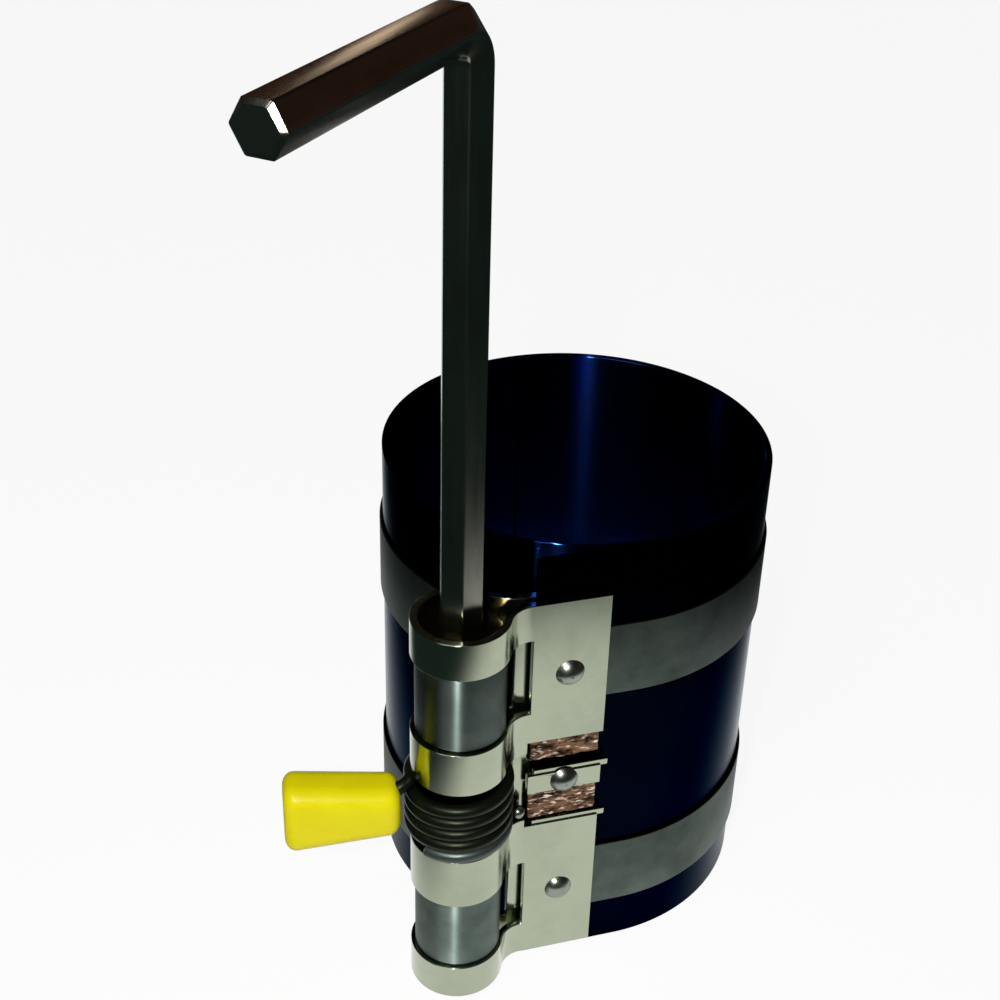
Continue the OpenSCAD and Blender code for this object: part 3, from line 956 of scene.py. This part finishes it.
@dataclass
class HexKey:
    """The hexagon key that stands in the spindle."""

    axis: Point = SPINDLE_AXIS
    across_flats: float = 6.0
    foot_z: float = 56.88
    arm_z: float = 158.38
    arm: float = 44.88
    bend_r: float = 5.0
    bend_flat: float = 33.0
    angle: float = 228.0
    bend_turns: tuple[float, ...] = (6, 12, 20, 28, 36, 45, 54, 62, 70, 78, 84, 90)
    end_cut: Point = (0.42, 0.6)
    end_plain: Point = (4.0, 3.0)
    edge_r: float = 0.45
    step: float = 6.0

    def section(self, inset: float = 0.0, outer: float = math.inf) -> list[Point]:
        """Gives the hexagon with a flat towards the arm.

        Args:
            inset: How far every flat is set in.
            outer: How far the side away from the arm may reach.

        Returns:
            The outline's points.
        """
        corner_r = (self.across_flats - 2 * inset) / math.sqrt(3)
        corners = [tuple(polar(30 + 60 * k, corner_r)[:2]) for k in range(6)]
        outline = rounded_polygon(corners, self.edge_r, 4)
        return [(max(x, -outer), y) for x, y in outline]

    def flattened(self, turn: float) -> float:
        """Gives the reach of the bend's outside, which bending pressed flat.

        Args:
            turn: Angle round the bend in degrees.

        Returns:
            Reach from the bar's middle.
        """
        off = min(abs(turn - 45.0), self.bend_flat)
        full = self.bend_r + self.across_flats / 2
        ratio = math.cos(math.radians(self.bend_flat)) / math.cos(math.radians(off))
        return full * ratio - self.bend_r

    def path(self) -> list[tuple[Frame3, list[Point]]]:
        """Lists the frames along the key, each with its section.

        Returns:
            Frames and sections.
        """
        foot = Vector((*self.axis, self.foot_z))
        out, side = polar(self.angle), polar(self.angle + 90)
        rise = self.arm_z - self.bend_r - self.foot_z
        run = self.arm - self.bend_r
        cuts = [(0.0, self.end_cut[1]), (self.end_cut[0], 0.0)]
        shank = spaced(self.end_plain[0], rise, self.step)
        steps = [((foot + UP * d, out, side), self.section(inset)) for d, inset in cuts]
        steps += [((foot + UP * d, out, side), self.section()) for d in shank]
        centre = foot + UP * rise + out * self.bend_r
        for turn in self.bend_turns:
            inward = math.radians(turn)
            across = out * math.cos(inward) - UP * math.sin(inward)
            outline = self.section(0.0, self.flattened(turn))
            steps.append(((centre - across * self.bend_r, across, side), outline))
        base = centre + UP * self.bend_r
        arm = spaced(0.0, run - self.end_plain[1], self.step)[1:]
        steps += [((base + out * d, -UP, side), self.section()) for d in arm]
        steps += [((base + out * (run - d), -UP, side), self.section(inset)) for d, inset in reversed(cuts)]
        return steps

    def build(self) -> None:
        """Builds the key as one swept bar with chamfered ends."""
        loft = Loft("hexagon_key_bar")
        length = 0.0
        last = None
        for place, outline in self.path():
            length += (place[0] - last).length if last is not None else 0.0
            last = place[0]
            loft.ring(place, outline, length)
        loft.build(Body.KEY, ["hex_key"], "key_steel", KEY_BAR, sharp=29)


@dataclass
class ReleaseLever:
    """The wrap spring, the lever that it runs out into, and the grip."""

    axis: Point = SPINDLE_AXIS
    wire_d: float = 2.15
    coil_r: float = 7.475
    foot_z: float = 32.875
    rise: float = 11.03
    sweep: float = 1757.0
    foot_angle: float = 215.0
    lever_angle: float = 172.0
    bend_r: float = 2.5
    bend_drop: float = 0.8
    lever_wire: float = 12.0
    lever_drop: float = 1.6
    grip_start: float = 9.35
    grip_len: float = 17.6
    grip_w: float = 7.9
    grip_root_h: float = 8.5
    grip_tip_h: float = 12.4
    grip_drop: float = 3.4
    grip_round: float = 1.9
    grip_edge: float = 2.8
    grip_taper: float = 0.6
    grip_fullest: float = 0.98
    grip_step: float = 1.2
    grip_end_step: float = 11.25
    foot_ease: Point = (0.2, 0.8)
    wire_sides: int = 20
    coil_step: float = 5.0
    bend_step: float = 7.5
    lever_steps: int = 4

    def wire_points(self) -> list[Vector]:
        """Lists points along the wire: the coil, the bend out of it, then the lever.

        Returns:
            The points about the spindle's axis.
        """
        points = [
            polar(self.foot_angle + t, self.coil_r) + UP * (self.foot_z + self.rise * t / self.sweep)
            for t in spaced(0.0, self.sweep, self.coil_step)
        ]
        out, along = polar(self.lever_angle), polar(self.lever_angle + 90)
        top = self.foot_z + self.rise
        centre = out * (self.coil_r + self.bend_r) + UP * top
        for turn in spaced(0.0, 90.0, self.bend_step)[1:]:
            s, c = math.sin(math.radians(turn)), math.cos(math.radians(turn))
            drop = self.bend_drop * (1 - c) ** 2
            points.append(centre + (along * s - out * c) * self.bend_r - UP * drop)
        root = centre + along * self.bend_r - UP * self.bend_drop
        end = root + out * self.lever_wire - UP * self.lever_drop
        points += [root.lerp(end, (k + 1) / self.lever_steps) for k in range(self.lever_steps)]
        return points

    def build_spring(self) -> None:
        """Builds the spring as one round wire with an eased foot."""
        points = self.wire_points()
        radius = self.wire_d / 2
        centre = Vector((*self.axis, 0.0))
        loft = Loft("wrap_spring_wire")
        length = 0.0
        last = len(points) - 1
        ease_len, ease_size = self.foot_ease
        circle = [polar(360 * k / self.wire_sides)[:2] for k in range(self.wire_sides)]
        for i, point in enumerate(points):
            ahead = (points[min(i + 1, last)] - points[max(i - 1, 0)]).normalized()
            side = ahead.cross(UP).normalized()
            over = side.cross(ahead)
            length += (point - points[max(i - 1, 0)]).length
            eased = [(0.0, ease_size), (ease_len, 1.0)] if i == 0 else [(0.0, 1.0)]
            for step, size in eased:
                section = [(x * radius * size, y * radius * size) for x, y in circle]
                loft.ring((centre + point + ahead * step, side, over), section, length + step)
        loft.build(Body.LEVER, ["wrap_spring"], "lacquered_wire", SPRING_WIRE)

    def build_grip(self) -> None:
        """Builds the grip as a tapering block with full round edges."""
        out, side = polar(self.lever_angle), polar(self.lever_angle + 90)
        middle = self.foot_z + self.rise - self.grip_drop
        origin = Vector((*self.axis, middle)) + side * self.bend_r + out * self.grip_start
        loft = Loft("moulded_lever_grip")
        r = self.grip_round
        ends = [r * (1 - math.cos(math.radians(a))) for a in spaced(0.0, 90.0, self.grip_end_step)]
        between = spaced(r, self.grip_len - r, self.grip_step)[1:-1]
        for s in ends + between + [self.grip_len - e for e in reversed(ends)]:
            share = s / self.grip_len
            from_end = min(s, self.grip_len - s)
            inset = r - math.sqrt(max(0.0, r * r - max(0.0, r - from_end) ** 2))
            height = self.grip_root_h + (self.grip_tip_h - self.grip_root_h) * share
            x, y = self.grip_w / 2 - inset, height / 2 - inset
            radius = min(self.grip_edge - inset * self.grip_taper, x * self.grip_fullest)
            corners = [(-x, -y), (x, -y), (x, y), (-x, y)]
            loft.ring((origin + out * s, side, UP), rounded_polygon(corners, radius, 6), s)
        loft.build(Body.LEVER, ["lever_grip"], "yellow_plastic", GRIP_VINYL, sharp=60)

    def build(self) -> None:
        """Builds the spring and the grip."""
        self.build_spring()
        self.build_grip()


@dataclass(frozen=True)
class Lamp:
    """One round soft lamp, in millimetres and watts."""

    name: str
    place: Place
    size: float
    power: float
    aim: Place = (-10.0, -10.0, 60.0)
    tint: str = "#ffffff"

    def hang(self) -> None:
        """Hangs the lamp so that it faces its aim."""
        data = bpy.data.lights.new(self.name, "AREA")
        data.shape = "DISK"
        data.size = self.size * MM
        data.energy = self.power
        data.color = linear(self.tint)[:3]
        lamp = bpy.data.objects.new(self.name, data)
        lamp.location = Vector(self.place) * MM
        lamp.rotation_mode = "QUATERNION"
        lamp.rotation_quaternion = (Vector(self.aim) - Vector(self.place)).to_track_quat("-Z", "Y")
        bpy.context.scene.collection.objects.link(lamp)


# A large soft lamp, a small one beside the camera and a faint warm one behind
LAMPS = (
    Lamp("key_lamp", (-520.0, -420.0, 900.0), 520.0, 2.8),
    Lamp("camera_lamp", (-105.0, -216.0, 216.0), 18.0, 0.65),
    Lamp("rear_lamp", (76.0, 513.0, 326.0), 40.0, 0.014, (-43.0, -49.0, 158.0), "#ffe0c4"),
)


@dataclass
class Studio:
    """The pale floor, the soft lamps and the camera."""

    camera_mm: Place = (-78.42, -216.16, 210.06)
    heading: float = 16.94
    pitch: float = 31.70
    roll: float = 1.60
    lens: float = 58.454
    floor_r: float = 2600.0
    floor_drop: float = 0.05
    floor_colour: str = "#f4f4f2"
    floor_white: float = 0.92
    sheet_middle: Point = (12.0, -50.0)
    sheet_r: Point = (52.0, 106.0)
    # Painted shadow: inside this radius the floor shows dark in the metal
    band_shadow_r: Point = (26.0, 36.0)
    # Dark colour that the floor shows in the metal away from the part: painted reflection
    room: str = "#22302e"
    horizon: str = "#3a4246"
    wall: str = "#3e2a20"
    wall_band: Point = (0.02, 0.15)
    ceiling: str = "#1c1816"
    ceiling_band: Point = (0.3, 0.55)
    backdrop: str = "#f7f7f7"

    def build_camera(self) -> None:
        """Sets the camera at the photograph's place and angle."""
        data = bpy.data.cameras.new("studio_camera")
        data.sensor_width = 36.0
        data.lens = self.lens
        data.clip_start, data.clip_end = 0.01, 20.0
        camera = bpy.data.objects.new("studio_camera", data)
        turn = Matrix.Rotation(math.radians(-self.heading), 4, "Z")
        tilt = Matrix.Rotation(math.radians(90 - self.pitch), 4, "X")
        roll = Matrix.Rotation(math.radians(self.roll), 4, "Z")
        camera.matrix_world = Matrix.Translation(Vector(self.camera_mm) * MM) @ turn @ tilt @ roll
        bpy.context.scene.collection.objects.link(camera)
        bpy.context.scene.camera = camera

    def painted_floor_reflection(self, tree: Tree, place: Socket) -> Socket:
        """Gives the floor's painted reflection, which only the metal sees: pale in front and behind, then
        the room colour, and a painted shadow inside the band.

        Args:
            tree: The floor's node tree.
            place: The floor's own coordinates.

        Returns:
            The colour seen in the metal.
        """
        parts = add(tree, "SeparateXYZ", {"Vector": place}).node.outputs
        x, y = self.sheet_middle
        aside = add(tree, "Math", {0: parts["X"], 1: x * MM}, operation="SUBTRACT")
        ahead = add(tree, "Math", {0: parts["Y"], 1: y * MM}, operation="SUBTRACT")
        ahead = add(tree, "Math", {0: ahead, 1: 0.0}, operation="MINIMUM")
        offset = add(tree, "CombineXYZ", {"X": aside, "Y": ahead})
        # Painted reflection: the floor glows pale near the part, for glossy rays only
        pale = self.ring_fade(tree, offset, self.sheet_r, (1.0, 0.0))
        # Painted shadow: the floor inside the band shows dark in the metal
        outside_band_shadow = self.ring_fade(tree, place, self.band_shadow_r, (0.0, 1.0))
        share = add(tree, "Math", {0: pale, 1: outside_band_shadow}, operation="MULTIPLY")
        return add(
            tree, "Mix", {0: share, 6: linear(self.room), 7: (1.0, 1.0, 1.0, 1.0)}, out=2, data_type="RGBA"
        )

    def ring_fade(self, tree: Tree, offset: Socket, radii: Point, values: Point) -> Socket:
        """Fades between two values with distance.

        Args:
            tree: The node tree.
            offset: Vector from the middle.
            radii: Where the fade starts and ends, in millimetres.
            values: The value inside and the value outside.

        Returns:
            The faded value.
        """
        away = add(tree, "VectorMath", {0: offset}, out="Value", operation="LENGTH")
        return add(
            tree,
            "MapRange",
            {
                "Value": away,
                "From Min": radii[0] * MM,
                "From Max": radii[1] * MM,
                "To Min": values[0],
                "To Max": values[1],
            },
            interpolation_type="SMOOTHSTEP",
        )

    def build_floor(self) -> None:
        """Lays a pale floor that shows white and keeps the shadow.

        In the metal the floor glows as a painted reflection: pale near the part, dark further out, with a
        painted shadow inside the band.
        """
        rim = [polar(a, self.floor_r) * MM for a in spaced(0, 355, 5)]
        mesh = bpy.data.meshes.new("studio_floor")
        mesh.from_pydata([p - UP * self.floor_drop * MM for p in rim], [], [list(range(len(rim)))])
        paper = bpy.data.materials.new("matt_white_paper")
        paper.use_nodes = True
        tree = paper.node_tree
        tree.nodes.remove(tree.nodes["Principled BSDF"])
        rays = add(tree, "LightPath").node.outputs
        matt = add(tree, "BsdfDiffuse", {"Color": linear(self.floor_colour)})
        white = add(tree, "Emission", {"Strength": 1.0})
        share = add(tree, "Math", {0: rays["Is Camera Ray"], 1: self.floor_white}, operation="MULTIPLY")
        seen = add(tree, "MixShader", {0: share, 1: matt, 2: white})
        place = add(tree, "TexCoord", out="Object")
        # Glossy rays see the floor as an emission: painted reflection, with no lamp behind it
        mirrored = add(tree, "Emission", {"Color": self.painted_floor_reflection(tree, place)})
        mixed = add(tree, "MixShader", {0: rays["Is Glossy Ray"], 1: seen, 2: mirrored})
        tree.links.new(mixed, tree.nodes["Material Output"].inputs["Surface"])
        mesh.materials.append(paper)
        floor = bpy.data.objects.new("studio_floor", mesh)
        bpy.context.scene.collection.objects.link(floor)

    def build_light(self) -> None:
        """Sets a dim room, which only the camera sees as white, and hangs the lamps."""
        world = bpy.data.worlds.new("dim_studio")
        world.use_nodes = True
        tree = world.node_tree
        ray = add(tree, "TexCoord", out="Generated")
        height = add(tree, "SeparateXYZ", {"Vector": ray}, out="Z")
        colour: Colour | Socket = linear(self.horizon)
        for above, (low, high) in ((self.wall, self.wall_band), (self.ceiling, self.ceiling_band)):
            share = add(tree, "MapRange", {"Value": height, "From Min": low, "From Max": high})
            colour = add(tree, "Mix", {0: share, 6: colour, 7: linear(above)}, out=2, data_type="RGBA")
        seen = add(tree, "LightPath", out="Is Camera Ray")
        colour = add(tree, "Mix", {0: seen, 6: colour, 7: linear(self.backdrop)}, out=2, data_type="RGBA")
        tree.links.new(colour, tree.nodes["Background"].inputs["Color"])
        bpy.context.scene.world = world
        for lamp in LAMPS:
            lamp.hang()

    def build(self) -> None:
        """Builds the whole studio."""
        bpy.context.scene.view_settings.view_transform = "Standard"
        self.build_camera()
        self.build_floor()
        self.build_light()


def main() -> None:
    """Builds the studio and every sub-assembly in order."""
    logging.basicConfig(level=logging.INFO, format="%(message)s")
    Studio().build()
    band = Band()
    band.build()
    Clasp().build()
    Spindle().build(band.strap_z)
    HexKey().build()
    ReleaseLever().build()


if __name__ == "__main__":
    main()
